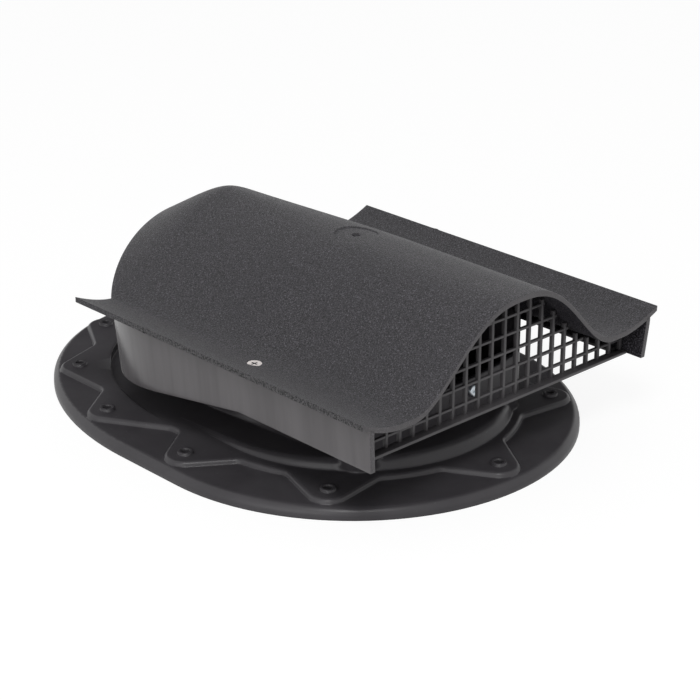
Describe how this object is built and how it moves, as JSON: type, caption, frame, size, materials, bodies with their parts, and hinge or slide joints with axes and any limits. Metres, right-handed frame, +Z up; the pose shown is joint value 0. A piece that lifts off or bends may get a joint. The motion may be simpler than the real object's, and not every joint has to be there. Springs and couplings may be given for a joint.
{
  "type": "roof tile vent",
  "caption": "Roof tile vent: oval flange with screw bosses, wave-shaped hood over an air duct, and a barred grille across its front.",
  "frame": {"origin": "under the middle of the flange, on the surface it lies on", "axes": "+Z up from the roof, the grille faces -Y, +X to the right seen from behind the grille looking along +Y"},
  "size_m": [0.268, 0.3506, 0.1157],
  "materials": {
    "base_plastic": "satin moulded",
    "hood_plastic": "sand-textured moulded",
    "grille_plastic": "satin moulded",
    "wing_screw_steel": "dull plated",
    "zinc_steel": "bright zinc plated"
  },
  "bodies": {
    "root": {"base_flange": "base_plastic", "hood": "hood_plastic", "front_grille": "grille_plastic", "wing_screws": "wing_screw_steel", "duct_screws": "zinc_steel"}
  },
  "joints": []
}
